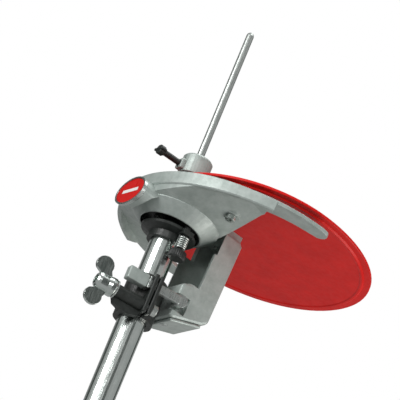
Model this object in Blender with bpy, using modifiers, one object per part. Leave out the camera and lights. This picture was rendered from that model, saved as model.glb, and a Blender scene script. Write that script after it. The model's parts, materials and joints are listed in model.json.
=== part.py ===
"""Electronic hi-hat pad on the upper tube of its stand, as a bench-strippable assembly.

World frame: metres, +Z up the stand tube, origin on the tube's axis at its lower end.
+X runs from the tube towards the middle of the round strike plate, so the pad is nearly
symmetric about the XZ plane. The pad's parts hang from the empty "pad_axes", which sits
on the seat's pivot and leans the pad forward.
"""

import math

import bmesh
import bpy
from mathutils import Vector

MM = 0.001
GAP = 0.3                     # running gap between neighbours, mm

# Driving dimensions, mm
TUBE_RADIUS = 11.1            # 7/8 in stand tube
TUBE_WALL = 1.4
TUBE_LENGTH = 378.0
ROD_RADIUS = 3.0
ROD_TOP = 569.0               # height of the rod's round tip
ROD_BOTTOM = -22.0            # its lower end stands out of the tube
RIM_HEIGHT = 422.0            # height of the strike plate's rim at the tube's axis
PAD_LEAN = 2.3                # degrees, forward lean of the pad on its seat
PIVOT_DROP = 32.0             # seat pivot below the rim plane

PLATE_RADIUS = 100.0
PLATE_OFFSET = 67.0           # tube axis to plate centre
PLATE_SHORT = 87.0            # the plate's reach towards the badge
PLATE_THICKNESS = 2.4
FRAME_RADIUS = 104.0
WALL_THICKNESS = 3.6
WALL_HALF_ANGLE = 66.0        # the wall's ends, degrees either side of the badge
WEB_TOP = -9.3                # heights below are from the rim plane
WEB_BOTTOM = -12.3
WALL_TOP = -7.2
WALL_BOTTOM = -18.8
WEB_EDGE = 32.0               # straight rear edge of the web, from the tube's axis
HUB_FLOOR = (-22.0, -19.0)
SKIRT_BOTTOM = -35.0

CLAMP_HEIGHT = 324.0
CLAMP_TURN = -10.0            # degrees, the clamp's bar against +X
ROUND = 28                    # facets of an ordinary round piece
TILT_SCREW_AT = (3.6, -19.6)  # x, y of the tilt screw
THUMB_HEIGHT = 17.0           # above the rim plane
SCREW_POINTS = ((17.6, -49.6), (17.6, 49.6))  # x, y of the plate screws
SCREW_SEAT = 19.6             # depth of the screws' seats below the rim plane
DISH_EDGE = 36.0              # where the dished underside meets the hub's cone
DISH_LOW = -25.6  # height of the dish at that edge
BADGE_FACE = -41.7            # x of the badge boss's face
BADGE_HEIGHT = -28.0  # height of the badge's middle
HOUSING_HALF = 18.3  # half the housing's width
HOUSING_X = (27.0, 54.0)  # inner and outer face
HOUSING_TOP = -16.0  # the housing's top, below the rim plane
FOOT_X = 20.6                 # the foot's face towards the tube
BASE_THICKNESS = 2.4  # the sloping cover
HOUSING_SCREW_X = 47.0  # the fixing screws, either side of y = 0
HOUSING_SCREW_Y = 8.5
EAR_X = 3.4                   # thickness of each clamp ear
BAR_HEIGHT = 7.0              # above the clamp's middle
BOLT_HEIGHT = -10.8  # from the clamp's middle
FRONT = -19.5                 # y of bar and bolt, in front of the tube


def start():
    """Empty the scene and make the two collections."""
    for old in list(bpy.data.objects):
        bpy.data.objects.remove(old, do_unlink=True)
    parts = bpy.data.collections.new("hihat_pad")
    tools = bpy.data.collections.new("cutters")
    for collection in (parts, tools):
        bpy.context.scene.collection.children.link(collection)
    return parts, tools


PARTS, CUTTERS = start()
FINISHES = {}


def finish(slot, colour, rough, metal):
    """Register a Principled material under the record's slot name."""
    material = bpy.data.materials.new(slot)
    material.use_nodes = True
    shader = material.node_tree.nodes["Principled BSDF"]
    shader.inputs["Base Color"].default_value = (*colour, 1.0)
    shader.inputs["Roughness"].default_value = rough
    shader.inputs["Metallic"].default_value = metal
    FINISHES[slot] = material


finish("cast_alloy", (0.52, 0.56, 0.54), 0.45, 0.8)
finish("chrome", (0.75, 0.78, 0.77), 0.12, 1.0)
finish("bright_steel", (0.62, 0.66, 0.64), 0.3, 1.0)
finish("black_cast", (0.02, 0.024, 0.022), 0.5, 0.2)
finish("black_plastic", (0.015, 0.017, 0.016), 0.55, 0.0)
finish("rubber", (0.02, 0.02, 0.02), 0.85, 0.0)
finish("red_plate", (0.55, 0.03, 0.03), 0.3, 0.0)
finish("badge_red", (0.6, 0.04, 0.03), 0.3, 0.0)
finish("felt", (0.05, 0.05, 0.05), 0.95, 0.0)
finish("circuit_green", (0.02, 0.16, 0.07), 0.5, 0.0)
finish("brass", (0.7, 0.5, 0.2), 0.3, 1.0)


def empty(name, location=(0, 0, 0), turn=(0, 0, 0), parent=None):
    """An empty that carries other objects; location in mm, turn in degrees."""
    holder = bpy.data.objects.new(name, None)
    PARTS.objects.link(holder)
    holder.location = Vector(location) * MM
    holder.rotation_euler = [math.radians(a) for a in turn]
    holder.parent = parent
    return holder


PAD = empty("pad_axes", (0, 0, RIM_HEIGHT - PIVOT_DROP), (0, PAD_LEAN, 0))
STAND = empty("stand_axes", (0, 0, RIM_HEIGHT))
CLAMP = empty("clamp_axes", (0, 0, CLAMP_HEIGHT), (0, 0, CLAMP_TURN))


def place(obj, location=(0, 0, 0), turn=(0, 0, 0), parent=PAD):
    """Put an object at a point in mm; on the pad, heights are from the rim plane."""
    lift = PIVOT_DROP if parent is PAD else 0.0
    obj.parent = parent
    obj.location = Vector((location[0], location[1], location[2] + lift)) * MM
    obj.rotation_euler = [math.radians(a) for a in turn]
    return obj


def dress(obj, slot):
    """Give an object its material and shade it."""
    obj.data.materials.clear()
    obj.data.materials.append(FINISHES[slot])
    if obj.data.polygons:
        obj.data.shade_smooth()
        obj.data.set_sharp_from_angle(angle=math.radians(32))
    return obj


def mesh_object(name, slot, build):
    """A mesh object whose bmesh is filled in by build(bm)."""
    mesh = bpy.data.meshes.new(name)
    bm = bmesh.new()
    build(bm)
    bmesh.ops.recalc_face_normals(bm, faces=bm.faces)
    bm.to_mesh(mesh)
    bm.free()
    obj = bpy.data.objects.new(name, mesh)
    PARTS.objects.link(obj)
    return dress(obj, slot)


def box(name, slot, size, centre, parent=PAD, turn=(0, 0, 0), bevel=0.0):
    """A block of a size in mm, round-edged by bevel."""
    def build(bm):
        bmesh.ops.create_cube(bm, size=1.0)
        bmesh.ops.scale(bm, vec=Vector(size) * MM, verts=bm.verts)
    obj = place(mesh_object(name, slot, build), centre, turn, parent)
    if bevel:
        soften(obj, bevel)
    return obj


def rod(name, slot, radius, length, centre, parent=PAD, turn=(0, 0, 0), sides=ROUND, tip=None):
    """A round bar or cone along its own Z, centred."""
    def build(bm):
        end = radius if tip is None else tip
        bmesh.ops.create_cone(bm, cap_ends=True, segments=sides, radius1=radius * MM,
                              radius2=end * MM, depth=length * MM)
    return place(mesh_object(name, slot, build), centre, turn, parent)


def turned(name, slot, profile, centre=(0, 0, 0), parent=PAD, turn=(0, 0, 0), steps=ROUND):
    """A profile of (radius, height) points, top to bottom down the outside, spun about Z."""
    mesh = bpy.data.meshes.new(name)
    points = [(r * MM, 0, z * MM) for r, z in profile]
    hollow = profile[0][0] > 0 and profile[-1][0] > 0
    edges = [(i, i + 1) for i in range(len(points) - 1)]
    if hollow:
        edges.append((len(points) - 1, 0))
    mesh.from_pydata(points, edges, [])
    obj = bpy.data.objects.new(name, mesh)
    PARTS.objects.link(obj)
    spin = obj.modifiers.new("spin", "SCREW")
    spin.steps = steps
    spin.render_steps = steps
    spin.use_merge_vertices = True
    spin.merge_threshold = 0.00001
    obj.data.materials.append(FINISHES[slot])
    return place(obj, centre, turn, parent)


def ring(name, slot, outer, inner, low, high, centre=(0, 0, 0), parent=PAD, steps=ROUND):
    """A plain ring between two heights."""
    profile = [(outer, high), (outer, low), (inner, low), (inner, high)]
    return turned(name, slot, profile, centre, parent, steps=steps)


def slab(name, slot, outline, low, high, parent=PAD, turn=(0, 0, 0), centre=(0, 0, 0)):
    """A flat outline in mm extruded between two heights, made a mesh."""
    curve = bpy.data.curves.new(name, "CURVE")
    curve.dimensions = "2D"
    curve.fill_mode = "BOTH"
    curve.extrude = (high - low) / 2 * MM
    spline = curve.splines.new("POLY")
    spline.points.add(len(outline) - 1)
    for point, (x, y) in zip(spline.points, outline):
        point.co = (x * MM, y * MM, 0, 1)
    spline.use_cyclic_u = True
    drawn = bpy.data.objects.new(name + "_outline", curve)
    PARTS.objects.link(drawn)
    drawn.location = (0, 0, (high + low) / 2 * MM)
    bpy.context.view_layer.update()
    depsgraph = bpy.context.evaluated_depsgraph_get()
    mesh = bpy.data.meshes.new_from_object(drawn.evaluated_get(depsgraph))
    bm = bmesh.new()
    bm.from_mesh(mesh)
    bmesh.ops.remove_doubles(bm, verts=bm.verts, dist=1e-6)
    bmesh.ops.translate(bm, vec=drawn.location, verts=bm.verts)
    bmesh.ops.recalc_face_normals(bm, faces=bm.faces)
    bm.to_mesh(mesh)
    bm.free()
    bpy.data.objects.remove(drawn, do_unlink=True)
    obj = bpy.data.objects.new(name, mesh)
    PARTS.objects.link(obj)
    return place(dress(obj, slot), centre, turn, parent)


def soften(obj, width, angle=40):
    """Round the sharp edges with one bevel segment pair."""
    bevel = obj.modifiers.new("soften", "BEVEL")
    bevel.width = width * MM
    bevel.segments = 2
    bevel.limit_method = "ANGLE"
    bevel.angle_limit = math.radians(angle)
    return obj


def combine(obj, other, operation):
    """Boolean the other object into obj and put it among the cutters."""
    PARTS.objects.unlink(other)
    CUTTERS.objects.link(other)
    other.hide_render = True
    other.display_type = "WIRE"
    step = obj.modifiers.new(operation.lower(), "BOOLEAN")
    step.operation = operation
    step.object = other
    return obj


def cut(obj, *others):
    for other in others:
        combine(obj, other, "DIFFERENCE")
    return obj


def join(obj, *others):
    for other in others:
        combine(obj, other, "UNION")
    return obj


def coil(name, slot, radius, wire, low, high, turns, centre, parent):
    """A helical spring with its wire's middle between two heights."""
    steps = 10
    count = int(turns * steps)
    curve = bpy.data.curves.new(name, "CURVE")
    curve.dimensions = "3D"
    curve.bevel_depth = wire * MM
    curve.bevel_resolution = 1
    curve.use_fill_caps = True
    spline = curve.splines.new("POLY")
    spline.points.add(count)
    for i, point in enumerate(spline.points):
        a = 2 * math.pi * i / steps
        z = low + (high - low) * i / count
        point.co = (radius * math.cos(a) * MM, radius * math.sin(a) * MM, z * MM, 1)
    obj = bpy.data.objects.new(name, curve)
    PARTS.objects.link(obj)
    curve.materials.append(FINISHES[slot])
    return place(obj, centre, (0, 0, 0), parent)


def arc(centre_x, radius, start, end, steps):
    """Points on an arc about (centre_x, 0), angles in degrees."""
    points = []
    for i in range(steps + 1):
        a = math.radians(start + (end - start) * i / steps)
        points.append((centre_x + radius * math.cos(a), radius * math.sin(a)))
    return points


# ---------------------------------------------------------------- stand

def stand_tube():
    outer = TUBE_RADIUS
    inner = TUBE_RADIUS - TUBE_WALL
    tube = turned("stand_tube", "chrome",
                  [(inner, TUBE_LENGTH), (outer - 0.5, TUBE_LENGTH), (outer, TUBE_LENGTH - 0.5),
                   (outer, 0.5), (outer - 0.5, 0), (inner, 0)], parent=None, steps=36)
    low = 0.0
    ring("tube_foot_bush", "black_plastic", inner - GAP, ROD_RADIUS + 0.4, low, 16.0, parent=None)
    top = TUBE_LENGTH
    ring("tube_top_bush", "black_plastic", inner - GAP, ROD_RADIUS + 0.4, top - 18.0, top, parent=None)
    return tube


def seat_cup():
    """The black cup on the tube's end, with the lug that the tilt screw runs in."""
    cup_top = -30.6
    shoulder = TUBE_LENGTH - RIM_HEIGHT + GAP
    bore = TUBE_RADIUS + GAP
    cup = turned("seat_cup", "black_cast",
                 [(10.0, cup_top), (11.2, cup_top - 1.2), (11.2, -36.0), (21.6, -37.4), (22.2, -38.2),
                  (21.6, -39.8), (14.8, -42.2), (14.4, -47.5), (bore, -47.5),
                  (bore, shoulder), (5.2, shoulder), (5.2, cup_top)],
                 parent=STAND, steps=40)
    x, y = TILT_SCREW_AT
    join(cup, box("seat_lug", "black_cast", (9.4, 12.0, 4.0), (x, y + 1.2, -40.2), STAND))
    hole = rod("lug_hole", "black_cast", 2.5 + GAP, 16.0, (x, y, -41.0), STAND, sides=20)
    pins = rod("pin_bore", "black_cast", 1.5 + GAP, 40.0, (0, 0, -PIVOT_DROP), PAD, (0, 90, 0), 20)
    return cut(cup, hole, pins)


def seat_parts():
    """The plate that rocks on the cup, its washer and its two pins."""
    plate = turned("seat_plate", "black_cast",
                   [(17.5, -25.0), (25.0, -25.0), (25.0, -27.4), (17.5, -28.2), (6.4, -28.2),
                    (6.4, -25.0)])
    for side in (-1, 1):
        ear = box("seat_ear", "black_cast", (2.6, 9.0, 8.6), (side * 13.4, 0, -31.3), bevel=0.0)
        join(plate, ear)
    bore = rod("ear_bore", "black_cast", 1.5 + GAP, 40.0, (0, 0, -PIVOT_DROP), turn=(0, 90, 0), sides=20)
    cut(plate, bore)
    ring("seat_washer", "rubber", 17.0, 7.0, -24.7, -22.0 - GAP)
    for name, side in (("seat_pin_front", -1), ("seat_pin_rear", 1)):
        rod(name, "bright_steel", 1.5, 8.6, (side * 11.4, 0, -PIVOT_DROP), turn=(0, 90, 0), sides=16)
    return plate


def tilt_adjuster():
    """Thumb screw under the seat, with its spring."""
    x, y = TILT_SCREW_AT
    screw = turned("tilt_screw", "black_plastic",
                   [(0, -29.6), (2.0, -29.6), (2.5, -30.1), (2.5, -54.6), (6.2, -55.0), (7.0, -56.0),
                    (7.0, -61.0), (6.0, -62.2), (0, -62.2)], (x, y, 0), STAND, steps=32)
    coil("tilt_spring", "bright_steel", 4.2, 0.6, -54.0, -43.2, 5.5, (x, y, 0), STAND)
    return screw


# ---------------------------------------------------------------- pull rod and clutch

def pull_rod():
    length = ROD_TOP - ROD_BOTTOM
    return turned("pull_rod", "bright_steel",
                  [(0, length), (1.5, length - 0.4), (2.6, length - 1.4), (ROD_RADIUS, length - 3.0),
                   (ROD_RADIUS, 26.0), (2.6, 25.0), (2.6, 0.6), (2.2, 0), (0, 0)],
                  (0, 0, ROD_BOTTOM), None, steps=24)


def clutch():
    """The clutch clamped to the rod, above the plunger."""
    bore = ROD_RADIUS + GAP
    body = turned("clutch_body", "cast_alloy",
                  [(bore, 31.0), (5.2, 31.0), (6.0, 30.6), (10.8, 28.4), (12.0, 27.0), (12.0, 12.4),
                   (11.4, 11.8), (bore, 11.8)], parent=STAND, steps=32)
    ear = box("clutch_ear", "cast_alloy", (6.0, 8.2, 8.6), (-12.2, 0, THUMB_HEIGHT), STAND, bevel=1.2)
    join(body, ear)
    bore = rod("clutch_bore", "cast_alloy", 2.5 + GAP, 20.0, (-12.0, 0, THUMB_HEIGHT), STAND, (0, 90, 0), 20)
    cut(body, bore)
    cut(body, box("clutch_slot", "cast_alloy", (11.0, 1.4, 30.0), (-12.5, 0, 25.0), STAND))
    ring("clutch_bumper", "felt", 11.0, 4.6, 9.9, 11.8 - GAP, parent=STAND)
    return body


def thumb_screw():
    """The clutch's thumb screw, pointing away from the plate's middle."""
    holder = empty("thumb_axes", (0, 0, RIM_HEIGHT + THUMB_HEIGHT), (0, -90, 0))
    screw = turned("clutch_thumb_screw", "black_cast",
                   [(0, 35.8), (3.4, 35.8), (4.0, 35.2), (4.0, 31.4), (3.4, 30.8), (2.4, 29.6),
                    (2.4, 4.2), (2.0, 3.7), (0, 3.7)], parent=holder, steps=24)
    wing = box("thumb_wing", "black_cast", (2.2, 11.0, 5.6), (0, 0, 33.8), holder, bevel=0.8)
    return join(screw, wing)


# ---------------------------------------------------------------- cast frame

def on_rim(radius, angle):
    """A point at a radius and angle from the plate's middle; 180 degrees is at the badge."""
    a = math.radians(angle)
    return (PLATE_OFFSET + radius * math.cos(a), radius * math.sin(a))


def web_outline():
    """The crescent: half the rim, two tapering round-ended arms and a straight rear edge."""
    outer = FRAME_RADIUS - 0.6
    tip = [on_rim(outer - 7.0 + 7.0 * math.cos(a), 270.0 + 4.0 * math.sin(a))
           for a in (math.radians(d) for d in range(30, 180, 30))]
    inner = [on_rim(88.4 - 0.8 * step, 266.0 - 4.4 * step) for step in range(6)]
    lower = tip + inner + [(30.0, -74.5), (WEB_EDGE, -70.0)]
    upper = [(x, -y) for x, y in reversed(lower)]
    return arc(PLATE_OFFSET, outer, 91.0, 269.0, 48) + lower + upper


def wall_sector(name, height_low, height_high):
    """A sector that keeps only the wall between its two ends."""
    far = 160.0
    a = math.radians(WALL_HALF_ANGLE)
    outline = [(PLATE_OFFSET, 0), (PLATE_OFFSET - far * math.cos(a), far * math.sin(a)),
               (PLATE_OFFSET - far, far), (PLATE_OFFSET - far, -far),
               (PLATE_OFFSET - far * math.cos(a), -far * math.sin(a))]
    return slab(name, "cast_alloy", outline, height_low, height_high)


def pad_frame():
    """The casting: web, wall, hub with its skirt, badge boss and two plate posts."""
    frame = slab("pad_frame", "cast_alloy", web_outline(), WEB_BOTTOM, WEB_TOP)
    outer = FRAME_RADIUS
    inner = FRAME_RADIUS - WALL_THICKNESS
    wall = turned("frame_wall", "cast_alloy",
                  [(inner, WALL_TOP), (outer - 0.9, WALL_TOP), (outer, WALL_TOP - 1.0),
                   (outer, WALL_BOTTOM + 1.0), (outer - 0.9, WALL_BOTTOM), (inner, WALL_BOTTOM)],
                  (PLATE_OFFSET, 0, 0), steps=104)
    combine(wall, wall_sector("wall_sector", -30.0, 10.0), "INTERSECT")
    cut(wall, box("wall_slope", "cast_alloy", (160.0, 240.0, 20.0), (40.0, 0, -1.2), turn=(0, 2.8, 0)))
    cut(wall, box("wall_taper", "cast_alloy", (30.0, 22.0, 10.0), (21.8, 91.7, -20.7), turn=(0, -23.8, 24.0)))
    dish = turned("frame_dish", "cast_alloy",
                  [(0, WEB_TOP - 0.6), (76.0, WEB_TOP - 0.6), (76.0, WEB_BOTTOM + 0.4), (DISH_EDGE, DISH_LOW),
                   (0, DISH_LOW)], steps=56)
    keep = rod("dish_round", "cast_alloy", FRAME_RADIUS - 1.2, 60.0, (PLATE_OFFSET, 0, -20.0), sides=104)
    combine(dish, keep, "INTERSECT")
    cut(dish, box("dish_end", "cast_alloy", (80.0, 240.0, 60.0), (WEB_EDGE - 0.3 + 40.0, 0, -20.0)))
    hub = turned("frame_hub", "cast_alloy",
                 [(0, WEB_TOP - 1.0), (35.0, WEB_TOP - 1.0), (DISH_EDGE + 0.2, DISH_LOW + 0.6),
                  (DISH_EDGE + 0.2, DISH_LOW - 0.5), (25.6, SKIRT_BOTTOM), (0, SKIRT_BOTTOM)], steps=44)
    boss = badge_shape("frame_boss", 18.6, 11.9, 30.0, BADGE_FACE)
    combine(boss, upright("boss_side", "cast_alloy",
                          [(BADGE_FACE - 5.0, -6.0), (-20.0, -6.0), (-20.0, -19.0), (-34.0, -32.0),
                           (BADGE_FACE + 1.5, -45.0), (BADGE_FACE - 5.0, -45.0)], -40.0, 40.0), "INTERSECT")
    tongue = box("frame_tongue", "cast_alloy", (30.0, 28.0, 5.4), (38.0, 0, HOUSING_TOP + GAP + 2.7))
    join(frame, wall, dish, hub, boss, tongue)
    for x, y in SCREW_POINTS:
        join(frame, rod("post", "cast_alloy", 6.4, SCREW_SEAT - 4.45, (x, y, -(SCREW_SEAT + 4.45) / 2), sides=28))
    well = turned("hub_well", "cast_alloy",
                  [(0, 4.0), (33.6, 4.0), (32.6, WEB_TOP - 0.5), (31.6, HUB_FLOOR[1]), (0, HUB_FLOOR[1])],
                  steps=40)
    seat = turned("hub_seat", "cast_alloy",
                  [(0, HUB_FLOOR[0]), (31.4, HUB_FLOOR[0]), (31.4, -26.0), (24.0, SKIRT_BOTTOM - 0.4),
                   (24.0, -60.0), (0, -60.0)], steps=40)
    eye = rod("hub_eye", "cast_alloy", 7.0, 30.0, (0, 0, -20.0))
    cut(frame, well, seat, eye)
    for x, y in SCREW_POINTS:
        cut(frame, rod("spot_face", "cast_alloy", 5.4, 20.0, (x, y, -SCREW_SEAT - 10.0), sides=28))
        cut(frame, rod("post_bore", "cast_alloy", 2.0 + GAP, 50.0, (x, y, -10.0), sides=20))
    for y in (-HOUSING_SCREW_Y, HOUSING_SCREW_Y):
        cut(frame, rod("tongue_bore", "cast_alloy", 1.5 + GAP, 12.0, (HOUSING_SCREW_X, y, -14.0), sides=16))
    return frame


def stretch(obj, factors):
    """Scale an object's mesh along its own axes."""
    for vertex in obj.data.vertices:
        vertex.co = [c * f for c, f in zip(vertex.co, factors)]
    return obj


def badge_shape(name, half_width, half_height, depth, front, slot="cast_alloy"):
    """An oval disc whose flat face looks along -X; front is the x of its face."""
    body = rod(name, slot, 1.0, depth, (front + depth / 2, 0, BADGE_HEIGHT), turn=(0, 90, 0), sides=44)
    return stretch(body, (half_height, half_width, 1.0))


def badge():
    """Pale bezel and plain red insert on the boss."""
    bezel = badge_shape("badge_bezel", 19.0, 12.3, 2.8, BADGE_FACE - GAP - 2.8, "bright_steel")
    cut(bezel, badge_shape("bezel_opening", 17.6, 10.9, 8.0, BADGE_FACE - 6.0))
    insert = badge_shape("badge_insert", 17.6 - GAP, 10.9 - GAP, 2.4, BADGE_FACE - GAP - 2.4, "badge_red")
    return insert


# ---------------------------------------------------------------- strike plate

def flatten(obj, share):
    """Set a turned object's mesh, and shorten it along its own X where X is negative."""
    bpy.context.view_layer.update()
    mesh = bpy.data.meshes.new_from_object(obj.evaluated_get(bpy.context.evaluated_depsgraph_get()))
    obj.modifiers.clear()
    obj.data = mesh
    for vertex in mesh.vertices:
        vertex.co.x *= share if vertex.co.x < 0 else 1.0
    return obj


def strike_plate():
    """The round dished plate with its raised lip, bored for plunger and screws."""
    r = PLATE_RADIUS
    t = PLATE_THICKNESS
    plate = turned("strike_plate", "red_plate",
                   [(0, t - 1.3 + 0.8), (60.0, t - 1.3 + 0.5), (91.0, t - 1.3), (96.0, t - 0.1), (r - 0.6, t),
                    (r, t - 0.6), (r, 0.4), (r - 0.4, 0.0), (94.6, -0.2), (93.4, -1.5), (92.0, -1.5),
                    (91.0, -1.0), (60.0, -0.8), (0, -0.5)], (PLATE_OFFSET, 0, 0), steps=88)
    flatten(plate, PLATE_SHORT / PLATE_RADIUS)
    cut(plate, rod("plate_eye", "red_plate", 14.6, 20.0, (0, 0, 0), sides=36))
    for x, y in SCREW_POINTS:
        cut(plate, rod("plate_hole", "red_plate", 3.0 + GAP, 20.0, (x, y, 0), sides=24))
    return plate


def plate_mounts():
    """Rubber grommets between frame and plate, with their cap screws and nuts."""
    for number, (x, y) in enumerate(SCREW_POINTS, 1):
        turned(f"grommet_{number}", "rubber",
               [(2.0 + GAP, 2.6), (5.0, 2.6), (5.6, 2.3), (5.6, 2.2), (3.0, 2.0), (3.0, -1.9), (6.0, -2.0),
                (6.0, -4.1), (2.0 + GAP, -4.1)], (x, y, 0), steps=28)
    for number, (x, y) in enumerate(SCREW_POINTS, 1):
        screw = rod(f"plate_screw_{number}", "bright_steel", 2.0, 26.4, (x, y, -7.8), sides=16)
        head = rod("screw_head", "bright_steel", 4.0, 3.4, (x, y, -SCREW_SEAT - 2.0), sides=24)
        socket = rod("screw_socket", "bright_steel", 1.7, 4.0, (x, y, -SCREW_SEAT - 3.6), sides=6)
        join(screw, head)
        cut(screw, socket)
        nut = rod(f"plate_nut_{number}", "bright_steel", 4.2, 2.2, (x, y, 4.1), sides=6)
        cut(nut, rod("nut_bore", "bright_steel", 2.0 + GAP, 8.0, (x, y, 4.1), sides=20))


# ---------------------------------------------------------------- plunger and sensing

def plunger():
    """The sleeve that the clutch pushes down, its guide and its spring."""
    turned("plunger_guide", "black_plastic",
           [(9.0, 3.6), (16.4, 3.6), (17.2, 2.8), (17.2, 2.5), (14.2, 2.4), (14.2, -3.5), (9.0, -3.5)], steps=32)
    turned("sensor_plunger", "black_plastic",
           [(5.6, 9.0), (7.9, 9.0), (8.5, 8.4), (8.5, -3.9), (12.0, -3.9), (12.0, -6.2), (5.6, -6.2)])
    coil("plunger_spring", "bright_steel", 9.4, 0.6, -18.0, -7.2, 3.5, (0, 0, 0), PAD)
    ring("plate_spacer", "black_plastic", 24.0, 17.6, -9.0, -1.6)


def sensing():
    """Pickup under the plate and the position sensor beside the plunger."""
    x, y = (22.0, 68.0)
    rod("pickup_foam", "rubber", 8.5, 6.0, (x, y, WEB_TOP + 3.4), sides=32)
    rod("pickup_disc", "brass", 10.0, 0.5, (x, y, -2.4), sides=32)
    box("position_sensor", "circuit_green", (6.0, 12.0, 9.0), (20.0, 0, -14.2), bevel=0.4)


# ---------------------------------------------------------------- sensor housing


def upright(name, slot, outline, low, high):
    """A slab whose outline is in the XZ plane and which spans y from low to high."""
    return slab(name, slot, outline, -high, -low, turn=(90, 0, 0))


def housing_profile():
    """Side view of the housing: a tall box with a foot that reaches towards the clamp."""
    x0, x1 = HOUSING_X
    return [(x0, HOUSING_TOP), (x1 - 3.0, HOUSING_TOP), (x1, HOUSING_TOP - 3.0), (x1, -90.0), (x1 - 5.0, -93.6),
            (FOOT_X + 2.0, -103.0), (FOOT_X, -101.0), (FOOT_X, -73.0), (x0, -70.0)]


def sensor_housing():
    """Cast shell open below; its near side has a window and a notch for the stop bar."""
    half = HOUSING_HALF
    wall = 3.0
    shell = soften(upright("sensor_housing", "cast_alloy", housing_profile(), -half, half), 2.0, 50)
    ceiling = HOUSING_TOP - wall
    cavity = upright("housing_cavity", "cast_alloy",
                     [(10.0, ceiling), (HOUSING_X[1] - wall, ceiling), (HOUSING_X[1] - wall, -120.0),
                      (33.0, -120.0), (33.0, -70.0), (10.0, -70.0)], -half + wall, half - wall)
    window = box("housing_window", "cast_alloy", (25.0, 12.0, 44.0), (22.5, -half, -48.0))
    notch = box("housing_notch", "cast_alloy", (14.6, 8.6, 14.6), (24.6, -half, -89.3))
    hub_room = rod("hub_room", "cast_alloy", 41.0, 40.0, (0, 0, -17.4), sides=64)
    cut(shell, cavity, window, notch, hub_room)
    for y in (-HOUSING_SCREW_Y, HOUSING_SCREW_Y):
        cut(shell, rod("fixing_hole", "cast_alloy", 1.5 + GAP, 12.0, (HOUSING_SCREW_X, y, -18.0), sides=16))
    return shell


def housing_fixings():
    """Two screws from inside the housing up into the frame's tongue."""
    for name, y in (("housing_screw_left", -HOUSING_SCREW_Y), ("housing_screw_right", HOUSING_SCREW_Y)):
        screw = rod(name, "bright_steel", 1.5, 9.0, (HOUSING_SCREW_X, y, -16.2), sides=14)
        join(screw, rod("fixing_head", "bright_steel", 2.8, 2.2, (HOUSING_SCREW_X, y, -20.5), sides=20))


def housing_base():
    """Sloping cover under the housing, with its sunk screw."""
    run = HOUSING_X[1] - 5.0 - FOOT_X - 2.0
    slope = math.atan2(103.0 - 93.6, run)
    mid_x = FOOT_X + 2.0 + run / 2
    mid_z = -(93.6 + 103.0) / 2
    drop = GAP + BASE_THICKNESS / 2
    tilt = (0, -math.degrees(slope), 0)
    cover = box("housing_cover", "cast_alloy", (run / math.cos(slope), 2 * HOUSING_HALF - 0.8, BASE_THICKNESS),
                (mid_x + drop * math.sin(slope), 0, mid_z - drop * math.cos(slope)), turn=tilt, bevel=0.9)
    reach = -9.5
    side_y = -2.0

    def along(depth):
        """The screw's axis at a depth below the shell's sloping underside."""
        return (mid_x + reach * math.cos(slope) + depth * math.sin(slope), side_y,
                mid_z + reach * math.sin(slope) - depth * math.cos(slope))
    cut(cover, rod("cover_hole", "cast_alloy", 1.5, 8.0, along(drop), turn=tilt, sides=16),
        rod("cover_sink", "cast_alloy", 2.9 + GAP, 4.0, along(3.1), turn=tilt, sides=20))
    screw = rod("cover_screw", "bright_steel", 2.9, 1.6, along(2.2), turn=tilt, sides=24)
    join(screw, rod("cover_shank", "bright_steel", 1.2, 1.4, along(1.0), turn=tilt, sides=14))
    cut(screw, rod("screw_socket", "bright_steel", 1.3, 1.6, along(3.0), turn=tilt, sides=6))
    return cover


def electronics():
    """Circuit board, its mounting pillars and the output jack."""
    box("circuit_board", "circuit_green", (1.6, 19.0, 50.0), (49.4, -3.5, -52.0))
    box("connector_block", "black_plastic", (5.6, 8.0, 8.0), (45.3, -6.0, -42.0), bevel=0.4)
    box("output_jack", "black_plastic", (5.6, 10.0, 13.0), (45.3, -7.0, -62.0), bevel=0.5)


# ---------------------------------------------------------------- tube clamp


def half_jaw(name, side, low, high):
    """Half of the collar, on one side of the split, with its front ear and rear knuckle."""
    bore = TUBE_RADIUS + GAP
    jaw = ring(name, "black_cast", 15.6, bore, low, high, parent=CLAMP, steps=36)
    keep = box(name + "_half", "black_cast", (40.0, 60.0, 80.0), (side * 20.5, 0, 0), CLAMP)
    combine(jaw, keep, "INTERSECT")
    ear = box(name + "_ear", "black_cast", (EAR_X, 12.4, high - low - 3.0),
              (side * (0.5 + EAR_X / 2), -18.8, (low + high) / 2), CLAMP, bevel=1.0)
    return join(jaw, ear)


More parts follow.
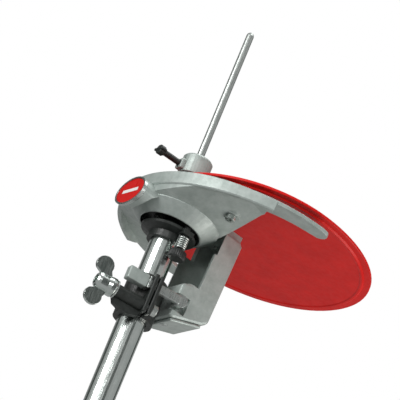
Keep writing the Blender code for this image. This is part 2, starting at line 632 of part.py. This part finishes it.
def clamp():
    """Two-jaw tube clamp with its hinge pin, bolt, wing nut and the stop bar."""
    low, high = (-18.6, 17.0)
    fixed = half_jaw("clamp_fixed_jaw", 1, low, high)
    swing = half_jaw("clamp_swing_jaw", -1, low, high)
    pin_y = 19.4
    for jaw, side, ranges in ((fixed, 1, ((-15.0, -5.0), (6.0, 17.0))), (swing, -1, ((-4.6, 5.6),))):
        for z0, z1 in ranges:
            knuckle = rod("knuckle", "black_cast", 3.4, z1 - z0, (0, pin_y, (z0 + z1) / 2), CLAMP, sides=24)
            arm = box("knuckle_arm", "black_cast", (3.2, 7.4, z1 - z0),
                      (side * 2.3, 16.3, (z0 + z1) / 2), CLAMP)
            join(jaw, knuckle, arm)
    join(swing, slab("jaw_leaf", "black_cast",
                     [(-5.0, -6.0), (-14.0, -6.5), (-22.0, -8.5), (-26.0, -12.5), (-27.0, -16.0), (-25.0, -20.0),
                      (-18.0, -22.5), (-10.0, -22.5), (-4.0, -20.5), (-1.6, -14.0), (-1.6, -8.0)],
                     13.4, 18.6, CLAMP, (90, 0, 0)))
    for jaw in (fixed, swing):
        cut(jaw, rod("pin_hole", "black_cast", 1.5 + GAP, 60.0, (0, pin_y, 0), CLAMP, sides=20))
        cut(jaw, box("bar_slot", "black_cast", (20.0, 4.6 + 2 * GAP, 7.0 + 2 * GAP), (0, FRONT, BAR_HEIGHT), CLAMP))
        cut(jaw, rod("bolt_hole", "black_cast", 3.8, 40.0, (0, FRONT, BOLT_HEIGHT), CLAMP, (0, 90, 0), 24))
    cut(swing, rod("leaf_relief", "black_cast", 5.0 + GAP, 60.0, (-34.2, FRONT, BOLT_HEIGHT), CLAMP,
                   (0, 90, 0), 24))
    rod("clamp_hinge_pin", "bright_steel", 1.5, 33.0, (0, pin_y, 1.0), CLAMP, sides=20)
    return fixed


def clamp_bolt():
    """Bolt across the ears, its spacer, washer and wing nut on the left."""
    holder = empty("bolt_axes", (0, FRONT, BOLT_HEIGHT), (0, -90, 0), CLAMP)
    bolt = turned("clamp_bolt", "bright_steel",
                  [(0, 42.0), (2.6, 42.0), (3.0, 41.4), (3.0, -4.4), (4.5, -4.4), (4.5, -8.0), (4.0, -8.6),
                   (0, -8.6)], parent=holder, steps=24)
    ring("bolt_spacer", "black_cast", 5.0, 3.7, 4.3, 27.4, parent=holder, steps=32)
    ring("bolt_washer", "bright_steel", 7.0, 3.7, 27.7, 29.0, parent=holder, steps=32)
    nut = turned("wing_nut", "chrome",
                 [(3.8, 45.2), (4.8, 45.2), (6.0, 44.2), (6.6, 42.0), (6.6, 36.0), (7.6, 33.0), (7.6, 30.0),
                  (7.0, 29.4), (3.8, 29.4)], parent=holder, steps=32)
    for side in (-1, 1):
        lobe = [math.radians(a) for a in range(-110, 131, 20)]
        outline = [(4.9, 41.0), (4.9, 33.0)]
        outline += [(13.4 + 7.0 * math.cos(a), 42.6 + 7.2 * math.sin(a)) for a in lobe]
        wing = slab("nut_wing", "chrome", [(side * x, z) for x, z in outline][::side], -1.5, 1.5, holder,
                    (90, 0, 0))
        join(nut, wing)
    return bolt


def stop_bar():
    """Flat bar through the ears; its round end sits in the housing's notch."""
    bar = box("stop_bar", "bright_steel", (34.0, 4.6, 7.0), (5.5, FRONT, BAR_HEIGHT), CLAMP, bevel=0.6)
    join(bar, rod("bar_end", "bright_steel", 5.0, 8.6, (23.6, FRONT + 2.4, BAR_HEIGHT), CLAMP, (90, 0, 0), 32))
    slot = (38.0, 4.6 + 2 * GAP, 7.0 + 2 * GAP)
    block = box("stop_block", "cast_alloy", (17.0, 8.0, 10.6), (-15.9, FRONT, BAR_HEIGHT), CLAMP, bevel=1.0)
    collar = box("block_collar", "bright_steel", (1.6, 7.8, 10.0), (-6.0, FRONT, BAR_HEIGHT), CLAMP, bevel=0.3)
    for piece in (block, collar):
        cut(piece, box("bar_way", "bright_steel", slot, (6.0, FRONT, BAR_HEIGHT), CLAMP))
    return block


stand_tube()
seat_cup()
seat_parts()
tilt_adjuster()
pull_rod()
clutch()
thumb_screw()
pad_frame()
badge()
strike_plate()
plate_mounts()
plunger()
sensing()
sensor_housing()
housing_fixings()
housing_base()
electronics()
clamp()
clamp_bolt()
stop_bar()
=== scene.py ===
"""Studio scene of an electronic hi-hat pad on its stand tube, seen from below and to one side.

The CAD nodes are the object. This script gives them their finishes, swaps three of them for
finer pieces of the same size, adds a bar to the badge, and sets up the floor, the lights and
the camera.
Lengths are metres, in the row frame.
"""

import json
import math

import bpy
from mathutils import Matrix, Vector


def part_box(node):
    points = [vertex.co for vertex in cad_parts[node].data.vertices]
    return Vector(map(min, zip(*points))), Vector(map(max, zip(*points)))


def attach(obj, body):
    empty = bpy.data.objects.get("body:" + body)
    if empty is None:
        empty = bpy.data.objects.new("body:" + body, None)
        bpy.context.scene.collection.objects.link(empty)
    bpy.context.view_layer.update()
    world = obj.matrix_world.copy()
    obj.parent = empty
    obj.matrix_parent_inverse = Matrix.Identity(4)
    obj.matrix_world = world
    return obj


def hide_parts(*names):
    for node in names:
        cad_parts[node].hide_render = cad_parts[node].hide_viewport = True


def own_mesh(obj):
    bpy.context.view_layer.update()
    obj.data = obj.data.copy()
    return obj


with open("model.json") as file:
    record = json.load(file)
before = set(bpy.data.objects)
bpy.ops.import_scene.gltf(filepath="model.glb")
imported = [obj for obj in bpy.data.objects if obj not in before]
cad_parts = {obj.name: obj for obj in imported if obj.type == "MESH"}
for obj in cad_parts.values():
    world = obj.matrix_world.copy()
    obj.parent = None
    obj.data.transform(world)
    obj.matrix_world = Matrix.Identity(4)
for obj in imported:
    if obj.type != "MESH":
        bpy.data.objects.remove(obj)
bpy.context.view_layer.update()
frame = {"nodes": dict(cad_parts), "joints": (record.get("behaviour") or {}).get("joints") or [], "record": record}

MM = 0.001
LEAN = math.radians(2.3)      # the pad's forward lean, about +Y
TILT = Matrix.Rotation(LEAN, 3, "Y")
PAD_HEIGHT = 0.4              # about where the pad is
FLOOR_HEIGHT = -6.0           # low enough for a camera under the pad to stay above it
SMOOTH_ANGLE = math.radians(34)
NODES = frame["nodes"]
JOINTS = {joint["name"]: joint for joint in frame["joints"]}


# ---------------------------------------------------------------- helpers

def box_of(node):
    """Lowest corner, highest corner and centre of a CAD node's box."""
    low, high = (Vector(corner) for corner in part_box(node))
    return low, high, (low + high) / 2


def new_object(name, data):
    """A new object in the scene's collection."""
    obj = bpy.data.objects.new(name, data)
    bpy.context.scene.collection.objects.link(obj)
    return obj


# ---------------------------------------------------------------- camera

def add_camera():
    """A long lens below the plate's rim, rolled so the tube runs up to the right."""
    around, below, roll = (math.radians(a) for a in (27.0, 25.3, 24.7))
    across = TILT @ Vector((math.cos(around), -math.sin(around), 0))
    away = TILT @ Vector((math.sin(around), math.cos(around), 0))
    normal = TILT @ Vector((0, 0, 1))
    lift = math.cos(below) * normal - math.sin(below) * away
    toward = -math.cos(below) * away - math.sin(below) * normal
    right = math.cos(roll) * across + math.sin(roll) * lift
    up = math.cos(roll) * lift - math.sin(roll) * across
    distance = 3.0
    width = 0.3097            # what the picture's width spans at the plate
    leftward = 0.03885        # from the plate's middle to the picture's
    upward = 0.03085
    plate = Vector(JOINTS["pad_tilt"]["pos_m"]) + TILT @ Vector((67.0, 0, 32.0)) * MM
    eye = plate - leftward * right + upward * up + distance * toward
    data = bpy.data.cameras.new("camera")
    data.sensor_width = 36.0
    data.lens = 36.0 * distance / width
    data.clip_end = 50.0
    camera = new_object("camera", data)
    turn = Matrix((right, up, toward)).transposed().to_4x4()
    camera.matrix_world = Matrix.Translation(eye) @ turn
    bpy.context.scene.camera = camera
    return toward


TOWARD = add_camera()
FACING = Vector((TOWARD.x, TOWARD.y, 0)).normalized()      # level, from the object to the camera


# ---------------------------------------------------------------- stage and light

def add_stage():
    """A pale floor, which neither lights the object nor shows in its chrome."""
    bpy.ops.mesh.primitive_plane_add(size=60.0, location=(0, 0, FLOOR_HEIGHT))
    floor = bpy.context.object
    floor.name = "floor"
    floor.visible_diffuse = False
    floor.visible_glossy = False
    return floor


def add_light(name, direction, distance, size, power, aim, colour=(1, 1, 1)):
    """A square soft box that faces aim, unseen by the camera."""
    data = bpy.data.lights.new(name, "AREA")
    data.size = size
    data.energy = power
    data.color = colour
    lamp = new_object(name, data)
    lamp.location = aim + direction.normalized() * distance
    lamp.rotation_euler = (aim - lamp.location).to_track_quat("-Z", "Y").to_euler()
    lamp.visible_camera = False


def add_card(name, azimuth, width):
    """A dark upright card, hidden from the camera, for chrome to reflect. Its azimuth is in degrees
    from the camera's."""
    distance = 1.5
    height = 2.4
    facing = Matrix.Rotation(math.radians(azimuth), 3, "Z") @ FACING
    bpy.ops.mesh.primitive_plane_add(size=1.0)
    card = bpy.context.object
    card.name = name
    card.scale = (width, height, 1.0)
    card.location = Vector((0, 0, PAD_HEIGHT)) + facing * distance
    card.rotation_euler = facing.to_track_quat("Z", "Y").to_euler()
    card.visible_camera = False
    card.visible_shadow = False
    return card


def add_lights():
    """Soft boxes round the pad, one above it, one under the plate's far end and one for the floor."""
    aim = box_of("pad_frame")[2]
    plate_end = box_of("strike_plate")[2] + Vector((0.06, 0, 0))
    side = Vector((-FACING.y, FACING.x, 0))
    rise = Vector((0, 0, 1))
    warm = (1.0, 0.95, 0.92)
    add_light("key", FACING * 0.75 - side * 0.9 + rise * 0.25, 1.5, 0.8, 15.0, aim)
    add_light("front", FACING + rise * 0.12 - side * 0.15, 1.7, 0.35, 5.0, aim)
    add_light("fill", FACING * 0.5 + side * 1.1 - rise * 0.15, 1.6, 0.7, 5.0, aim)
    add_light("top", Vector((0.1, -0.2, 1.0)), 1.4, 1.0, 12.0, aim)
    add_light("low", Vector((0.8, -0.5, -0.9)), 0.45, 0.25, 1.1, plate_end, warm)
    add_light("floor_wash", rise, 4.0, 60.0, 7600.0, rise * FLOOR_HEIGHT)


def add_surround():
    """A world that is white to the camera and dim as a light."""
    dim = 0.36
    world = bpy.data.worlds.new("surround")
    world.use_nodes = True
    back = world.node_tree.nodes["Background"]
    back.inputs["Color"].default_value = (1.0, 1.0, 1.0, 1.0)
    seen = world.node_tree.nodes.new("ShaderNodeLightPath").outputs["Is Camera Ray"]
    strength = world.node_tree.nodes.new("ShaderNodeMapRange")
    strength.inputs["To Min"].default_value = dim
    strength.inputs["To Max"].default_value = 1.0
    world.node_tree.links.new(seen, strength.inputs["Value"])
    world.node_tree.links.new(strength.outputs["Result"], back.inputs["Strength"])
    bpy.context.scene.world = world
    bpy.context.scene.view_settings.view_transform = "Standard"


# ---------------------------------------------------------------- finishes

class Finish:
    """Builds one Principled material out of patterns measured in metres."""

    def __init__(self, name, rough, metal=0.0, coat=0.0):
        self.material = bpy.data.materials.new(name)
        self.material.use_nodes = True
        self.tree = self.material.node_tree
        self.shader = self.tree.nodes["Principled BSDF"]
        self.set("Roughness", rough)
        self.set("Metallic", metal)
        self.set("Coat Weight", coat)
        self.set("Coat Roughness", 0.08)
        self.place = self.tree.nodes.new("ShaderNodeTexCoord").outputs["Object"]
        self.normal = None

    def set(self, socket, value):
        """A constant on the shader's own socket."""
        self.shader.inputs[socket].default_value = value

    def link(self, output, socket):
        self.tree.links.new(output, socket)

    def noise(self, feature, stretch=(1, 1, 1), detail=3.0, rough=0.55):
        """Noise whose lumps are about feature metres across."""
        scale = self.tree.nodes.new("ShaderNodeMapping")
        scale.inputs["Scale"].default_value = [s / feature for s in stretch]
        self.link(self.place, scale.inputs["Vector"])
        noise = self.tree.nodes.new("ShaderNodeTexNoise")
        noise.inputs["Scale"].default_value = 1.0
        noise.inputs["Detail"].default_value = detail
        noise.inputs["Roughness"].default_value = rough
        self.link(scale.outputs["Vector"], noise.inputs["Vector"])
        return noise.outputs["Fac"]

    def ramp(self, factor, low, high):
        """The middle of a noise's range, 0.35 to 0.65, spread over low to high."""
        node = self.tree.nodes.new("ShaderNodeMapRange")
        for socket, value in (("From Min", 0.35), ("From Max", 0.65), ("To Min", low), ("To Max", high)):
            node.inputs[socket].default_value = value
        self.link(factor, node.inputs["Value"])
        return node.outputs["Result"]

    def colour(self, factor, dark, light):
        """Base colour that runs from dark to light with factor."""
        node = self.tree.nodes.new("ShaderNodeMix")
        node.data_type = "RGBA"
        self.link(self.ramp(factor, 0.0, 1.0), node.inputs["Factor"])
        node.inputs["A"].default_value = (*dark, 1.0)
        node.inputs["B"].default_value = (*light, 1.0)
        self.link(node.outputs["Result"], self.shader.inputs["Base Color"])

    def vary_roughness(self, factor, low, high):
        """Roughness that runs from low to high with factor."""
        self.link(self.ramp(factor, low, high), self.shader.inputs["Roughness"])

    def bump(self, factor, height, strength):
        """Relief of a height in metres, on top of any bump before it."""
        node = self.tree.nodes.new("ShaderNodeBump")
        node.inputs["Strength"].default_value = strength
        node.inputs["Distance"].default_value = height
        self.link(factor, node.inputs["Height"])
        if self.normal:
            self.link(self.normal, node.inputs["Normal"])
        self.normal = node.outputs["Normal"]
        self.link(self.normal, self.shader.inputs["Normal"])

    def round_edges(self, radius):
        """Sharp edges catch light as if rounded by radius."""
        node = self.tree.nodes.new("ShaderNodeBevel")
        node.samples = 6
        node.inputs["Radius"].default_value = radius
        self.normal = node.outputs["Normal"]
        self.link(self.normal, self.shader.inputs["Normal"])


def cast_silver(name, dark, light):
    """Silver paint over a die casting: flake, orange peel and a slight soiling."""
    rough = 0.42
    f = Finish(name, rough, 0.35)
    f.round_edges(0.6 * MM)
    f.bump(f.noise(1.3 * MM, detail=2.0), 0.05 * MM, 0.6)
    f.bump(f.noise(0.3 * MM), 0.02 * MM, 0.6)
    f.colour(f.noise(9.0 * MM, detail=6.0, rough=0.7), dark, light)
    f.vary_roughness(f.noise(5.0 * MM, detail=5.0), rough - 0.07, rough + 0.08)
    return f.material


def metal(name, dark, light, rough, stretch):
    """Bare or plated metal with fine drawn or turned lines."""
    f = Finish(name, rough, 1.0)
    f.round_edges(0.25 * MM)
    lines = f.noise(0.4 * MM, stretch, detail=2.0)
    f.bump(lines, 0.004 * MM, 0.4)
    f.colour(f.noise(14.0 * MM, detail=5.0, rough=0.65), dark, light)
    f.vary_roughness(lines, max(rough - 0.05, 0.03), rough + 0.07)
    return f.material


def dull(name, dark, light, rough, grain, height):
    """Moulded plastic, powder coat, rubber or felt, told apart by grain."""
    f = Finish(name, rough)
    f.round_edges(0.35 * MM)
    f.bump(f.noise(grain, detail=4.0), height, 0.7)
    f.colour(f.noise(6.0 * MM, detail=5.0, rough=0.7), dark, light)
    f.vary_roughness(f.noise(2.5 * MM, detail=4.0), rough - 0.08, rough + 0.08)
    return f.material


def gloss(name, dark, light, rough, coat):
    """Smooth coloured plastic with faint flow marks."""
    f = Finish(name, rough, 0.0, coat)
    f.round_edges(0.3 * MM)
    f.set("Specular IOR Level", 0.2)
    f.bump(f.noise(3.0 * MM, detail=2.0), 0.01 * MM, 0.5)
    f.colour(f.noise(18.0 * MM, detail=5.0, rough=0.6), dark, light)
    f.vary_roughness(f.noise(4.0 * MM, detail=5.0), rough - 0.04, rough + 0.07)
    return f.material


def finishes():
    """One material per slot of the record."""
    return {
        "cast_alloy": cast_silver("cast_silver", (0.33, 0.38, 0.355), (0.43, 0.48, 0.455)),
        "chrome": metal("chrome", (0.66, 0.72, 0.69), (0.76, 0.81, 0.78), 0.16, (1, 1, 0.05)),
        "bright_steel": metal("bright_steel", (0.55, 0.59, 0.57), (0.66, 0.70, 0.67), 0.30, (1, 1, 0.08)),
        "black_cast": dull("black_powder_coat", (0.010, 0.013, 0.011), (0.022, 0.026, 0.024),
                           0.42, 0.5 * MM, 0.04 * MM),
        "black_plastic": dull("black_moulding", (0.010, 0.012, 0.011), (0.02, 0.022, 0.021),
                              0.5, 0.3 * MM, 0.02 * MM),
        "rubber": dull("rubber", (0.012, 0.012, 0.012), (0.026, 0.026, 0.025), 0.8, 0.4 * MM, 0.03 * MM),
        "felt": dull("felt", (0.02, 0.02, 0.02), (0.06, 0.06, 0.058), 0.95, 0.35 * MM, 0.2 * MM),
        "red_plate": gloss("red_gloss", (0.57, 0.006, 0.004), (0.66, 0.009, 0.006), 0.38, 0.0),
        "badge_red": gloss("badge_gloss", (0.52, 0.008, 0.006), (0.62, 0.012, 0.01), 0.3, 0.1),
        "circuit_green": dull("solder_mask", (0.012, 0.10, 0.04), (0.02, 0.16, 0.07),
                              0.45, 0.8 * MM, 0.02 * MM),
        "brass": metal("brass", (0.60, 0.42, 0.16), (0.70, 0.52, 0.22), 0.3, (1, 1, 1)),
    }


def dress(obj, material):
    """Give a piece its material, and shade it smooth but for its real edges."""
    obj.data.materials.clear()
    obj.data.materials.append(material)
    obj.data.shade_smooth()
    obj.data.set_sharp_from_angle(angle=SMOOTH_ANGLE)


FINISHES = finishes()
for entry in frame["record"]["subparts"]:
    dress(NODES[entry["node"]], FINISHES[entry["material_slot"]])


# ---------------------------------------------------------------- finer pieces

def lathe(name, outline, centre, steps, material, body, groove):
    """A turned piece from (radius, height) points, with grooves of a depth up its widest part."""
    widest = max(r for r, z in outline)
    points = []
    faces = []
    for r, z in outline:
        for k in range(steps):
            a = 2 * math.pi * k / steps
            reach = r - (groove * (k % 2) if r > 0.97 * widest else 0.0)
            points.append((centre.x + reach * math.cos(a), centre.y + reach * math.sin(a), z))
    for row in range(len(outline) - 1):
        for k in range(steps):
            here = row * steps + k
            step = row * steps + (k + 1) % steps
            faces.append((here, here + steps, step + steps, step))
    faces.append(list(range(steps)))
    last = (len(outline) - 1) * steps
    faces.append(list(range(last + steps - 1, last - 1, -1)))
    mesh = bpy.data.meshes.new(name)
    mesh.from_pydata(points, [], faces)
    mesh.validate()
    obj = new_object(name, mesh)
    dress(obj, material)
    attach(obj, body)
    return obj


def helix(name, wire, radius, length, turns, place):
    """A curve of round wire: turns of a radius over a length, carried to place by a function."""
    curve = bpy.data.curves.new(name, "CURVE")
    curve.dimensions = "3D"
    curve.bevel_depth = wire
    curve.bevel_resolution = 4
    curve.use_fill_caps = True
    spline = curve.splines.new("POLY")
    steps = 36
    count = int(turns * steps)
    spline.points.add(count)
    for k, point in enumerate(spline.points):
        a = 2 * math.pi * k / steps
        z = wire - length / 2 + (length - 2 * wire) * k / count
        point.co = (*place(Vector((radius * math.cos(a), radius * math.sin(a), z))), 1)
    return curve


def mesh_of(curve):
    """The curve's surface as a mesh."""
    path = new_object(curve.name + "_path", curve)
    bpy.context.view_layer.update()
    mesh = bpy.data.meshes.new_from_object(path.evaluated_get(bpy.context.evaluated_depsgraph_get()))
    bpy.data.objects.remove(path)
    return mesh


def fine_coil(name, node, turns, body, lean=0.0):
    """A spring that fills the box of its CAD node, its axis leaning about +Y. Returns it and its length."""
    wire = 0.6 * MM
    low, high, centre = box_of(node)
    turn = Matrix.Rotation(lean, 3, "Y")
    radius = (high.y - low.y) / 2 - wire
    length = high.z - low.z - 2 * (radius + wire) * math.sin(lean)
    curve = helix(name, wire, radius, length, turns, lambda point: centre + turn @ point)
    obj = new_object(name, mesh_of(curve))
    dress(obj, FINISHES["bright_steel"])
    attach(obj, body)
    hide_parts(node)
    return obj, length


def plunger_coil():
    """The plunger's spring, at one fixed length, though the real one shortens as the clutch pushes the plunger
    down.
    """
    coil, length = fine_coil("plunger_spring_fine", "plunger_spring", 3.5, "pad", LEAN)
    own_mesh(coil)


def tilt_knob():
    """The tilt screw with a knurled head, in place of the plain one."""
    low, high, centre = box_of("tilt_screw")
    head = (high.x - low.x) / 2
    shank = 2.5 * MM
    tip = 2.0 * MM
    core = 0.5 * MM           # the flat ends' inmost ring
    outline = [(core, high.z), (tip, high.z), (shank, high.z - 0.5 * MM), (shank, low.z + 7.1 * MM),
               (head - 1.2 * MM, low.z + 6.9 * MM), (head - 0.5 * MM, low.z + 6.5 * MM),
               (head, low.z + 6.0 * MM), (head, low.z + 1.2 * MM), (head - 0.15 * MM, low.z + 0.9 * MM),
               (head - 1.0 * MM, low.z), (core, low.z)]
    groove = 0.45 * MM
    steps = 56                # a groove at every second one
    material = FINISHES["black_plastic"]
    knob = lathe("knurled_tilt_screw", outline, centre, steps, material, "tilt_screw", groove)
    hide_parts("tilt_screw")


def badge_stripe():
    """A plain pale bar across the badge's middle, just proud of it."""
    low, high, centre = box_of("badge_insert")
    face = centre - TILT @ Vector((1.2 * MM, 0, 0))
    half = Vector((0.15 * MM, 0.30 * (high.y - low.y), 0.07 * (high.z - low.z)))
    corners = [(x, y, z) for x in (-1, 1) for y in (-1, 1) for z in (-1, 1)]
    points = [face + TILT @ Vector((x * half.x, y * half.y, z * half.z)) for x, y, z in corners]
    faces = [(0, 1, 3, 2), (4, 6, 7, 5), (0, 4, 5, 1), (2, 3, 7, 6), (0, 2, 6, 4), (1, 5, 7, 3)]
    mesh = bpy.data.meshes.new("badge_stripe")
    mesh.from_pydata(points, [], faces)
    bar = new_object("badge_stripe", mesh)
    dress(bar, gloss("badge_white", (0.74, 0.73, 0.71), (0.82, 0.81, 0.79), 0.35, 0.1))
    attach(bar, "pad")


tilt_knob()
badge_stripe()
fine_coil("tilt_spring_fine", "tilt_spring", 6.5, "stand")
plunger_coil()

# ---------------------------------------------------------------- studio

dress(add_stage(), dull("floor_paint", (0.80, 0.80, 0.79), (0.84, 0.84, 0.83), 0.7, 30 * MM, 0.2 * MM))
for name, azimuth, width in (("card_a", 30, 0.35), ("card_b", 125, 0.8), ("card_c", -118, 0.9)):
    felt = dull(name + "_felt", (0.05, 0.06, 0.055), (0.07, 0.08, 0.075), 0.9, 3 * MM, 0.2 * MM)
    dress(add_card(name, azimuth, width), felt)
add_lights()
add_surround()
